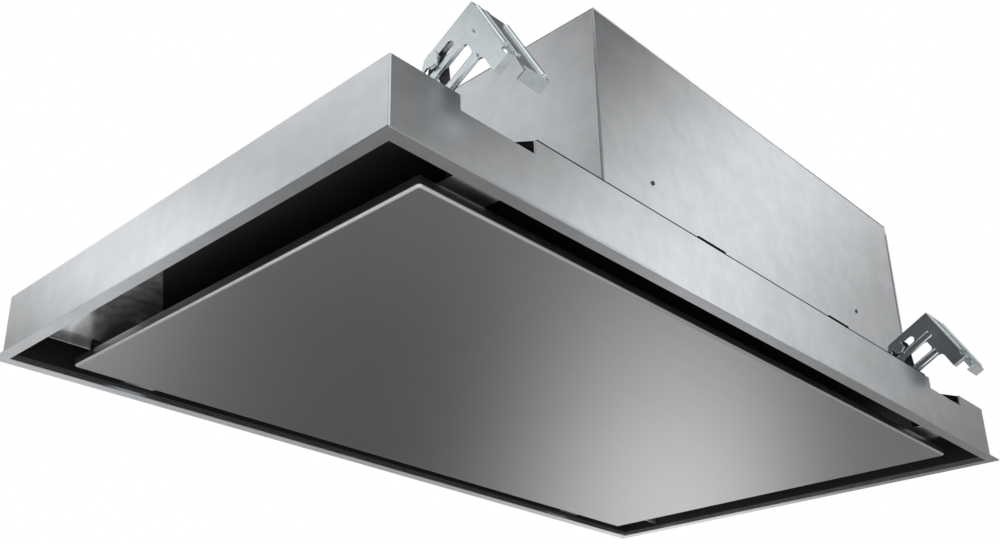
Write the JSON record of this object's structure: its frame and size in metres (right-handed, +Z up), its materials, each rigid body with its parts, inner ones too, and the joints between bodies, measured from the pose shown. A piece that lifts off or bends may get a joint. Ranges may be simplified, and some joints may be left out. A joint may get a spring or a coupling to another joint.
{
  "type": "ceiling range hood",
  "caption": "Recessed ceiling range hood: shallow steel casing with perimeter air gap, hinged stainless panel, grease filters, offset motor box, duct collar and swivelling ceiling brackets.",
  "frame": {"origin": "centre of the flange's underside, which lies against the ceiling from below and is the hood's lowest face", "axes": "+X along the long side, with the motor box towards +X; +Y towards the duct collar; +Z up into the ceiling"},
  "size_m": [0.9, 0.5716, 0.299],
  "materials": {
    "galvanised_sheet": "galvanised sheet, faint mottled spangle",
    "brushed_stainless": "fine brushed stainless",
    "zinc_plated": "bright zinc plating",
    "black_enamel": "satin black",
    "bare_aluminium": "bare, satin",
    "black_plastic": "matte",
    "motor_paint": "dark grey, satin",
    "circuit_board": "green board with moulded components"
  },
  "bodies": {
    "housing": {"casing": "galvanised_sheet", "deck_plate": "galvanised_sheet", "air_guide": "black_enamel", "air_deflector_left": "galvanised_sheet", "air_deflector_right": "galvanised_sheet", "filter_holder": "galvanised_sheet", "grease_filter_left": "bare_aluminium", "grease_filter_right": "bare_aluminium", "hinge_ears_left": "zinc_plated", "hinge_pin_left": "zinc_plated", "hinge_ears_right": "zinc_plated", "hinge_pin_right": "zinc_plated", "catch_magnet_left": "black_plastic", "catch_magnet_right": "black_plastic", "motor_box_front": "galvanised_sheet", "motor_box_back": "galvanised_sheet", "motor_box_left": "galvanised_sheet", "motor_box_right": "galvanised_sheet", "motor_box_lid": "galvanised_sheet", "scroll_band": "galvanised_sheet", "scroll_side_left": "galvanised_sheet", "inlet_ring_left": "galvanised_sheet", "scroll_side_right": "galvanised_sheet", "inlet_ring_right": "galvanised_sheet", "fan_motor": "motor_paint", "motor_arms": "zinc_plated", "duct_collar": "black_plastic", "flap_pin": "zinc_plated", "control_box": "black_plastic", "control_box_lid": "black_plastic", "control_board": "circuit_board", "cable_gland": "black_plastic", "bracket_holder_front_left": "galvanised_sheet", "bracket_holder_front_right": "galvanised_sheet", "bracket_holder_back_left": "galvanised_sheet", "bracket_holder_back_right": "galvanised_sheet"},
    "panel": {"panel_skin": "brushed_stainless", "panel_backing": "galvanised_sheet", "panel_hinge_left": "zinc_plated", "panel_hinge_right": "zinc_plated", "panel_striker_left": "zinc_plated", "panel_striker_right": "zinc_plated"},
    "left_filter_latch": {"filter_latch_left": "black_plastic"},
    "right_filter_latch": {"filter_latch_right": "black_plastic"},
    "fan_wheel": {"impeller": "bare_aluminium", "fan_shaft": "zinc_plated"},
    "left_flap": {"backdraft_flap_left": "black_plastic"},
    "right_flap": {"backdraft_flap_right": "black_plastic"},
    "bolt_front_left": {"bracket_bolt_front_left": "zinc_plated"},
    "bracket_front_left": {"ceiling_bracket_front_left": "zinc_plated"},
    "bolt_front_right": {"bracket_bolt_front_right": "zinc_plated"},
    "bracket_front_right": {"ceiling_bracket_front_right": "zinc_plated"},
    "bolt_back_left": {"bracket_bolt_back_left": "zinc_plated"},
    "bracket_back_left": {"ceiling_bracket_back_left": "zinc_plated"},
    "bolt_back_right": {"bracket_bolt_back_right": "zinc_plated"},
    "bracket_back_right": {"ceiling_bracket_back_right": "zinc_plated"}
  },
  "joints": [
    {"name": "panel_hinge", "type": "hinge", "parent": "housing", "child": "panel", "pos_m": [0, 0.222, 0.012], "axis": [1, 0, 0], "range_deg": [0, 90]},
    {"name": "left_latch_slide", "type": "slide", "parent": "housing", "child": "left_filter_latch", "axis": [0, 1, 0], "range_m": [0, 0.005], "stiffness_N_per_m": 200, "springref_m": -0.004},
    {"name": "right_latch_slide", "type": "slide", "parent": "housing", "child": "right_filter_latch", "axis": [0, 1, 0], "range_m": [0, 0.005], "stiffness_N_per_m": 200, "springref_m": -0.004},
    {"name": "fan_spin", "type": "hinge", "parent": "housing", "child": "fan_wheel", "pos_m": [0.134, -0.055, 0.165], "axis": [1, 0, 0], "continuous": true},
    {"name": "left_flap_hinge", "type": "hinge", "parent": "housing", "child": "left_flap", "pos_m": [0.134, 0.1523, 0.208], "axis": [0, 0, -1], "range_deg": [0, 75], "stiffness_Nm_per_rad": 0.01, "springref_deg": -9.74},
    {"name": "right_flap_hinge", "type": "hinge", "parent": "housing", "child": "right_flap", "pos_m": [0.134, 0.1523, 0.208], "axis": [0, 0, 1], "range_deg": [0, 75], "stiffness_Nm_per_rad": 0.01, "springref_deg": -9.74},
    {"name": "front_left_bracket_swivel", "type": "hinge", "parent": "housing", "child": "bolt_front_left", "pos_m": [-0.346, -0.2183, 0.09902], "axis": [1, 0, 0], "range_deg": [-61.5, 0]},
    {"name": "front_left_bracket_slide", "type": "slide", "parent": "bolt_front_left", "child": "bracket_front_left", "axis": [0, 0.8788, -0.4772], "range_m": [-0.01, 0.014]},
    {"name": "front_right_bracket_swivel", "type": "hinge", "parent": "housing", "child": "bolt_front_right", "pos_m": [0.346, -0.2183, 0.09902], "axis": [1, 0, 0], "range_deg": [-61.5, 0]},
    {"name": "front_right_bracket_slide", "type": "slide", "parent": "bolt_front_right", "child": "bracket_front_right", "axis": [0, 0.8788, -0.4772], "range_m": [-0.01, 0.014]},
    {"name": "back_left_bracket_swivel", "type": "hinge", "parent": "housing", "child": "bolt_back_left", "pos_m": [-0.346, 0.2183, 0.09902], "axis": [-1, 0, 0], "range_deg": [-61.5, 0]},
    {"name": "back_left_bracket_slide", "type": "slide", "parent": "bolt_back_left", "child": "bracket_back_left", "axis": [0, -0.8788, -0.4772], "range_m": [-0.01, 0.014]},
    {"name": "back_right_bracket_swivel", "type": "hinge", "parent": "housing", "child": "bolt_back_right", "pos_m": [0.346, 0.2183, 0.09902], "axis": [-1, 0, 0], "range_deg": [-61.5, 0]},
    {"name": "back_right_bracket_slide", "type": "slide", "parent": "bolt_back_right", "child": "bracket_back_right", "axis": [0, -0.8788, -0.4772], "range_m": [-0.01, 0.014]}
  ]
}
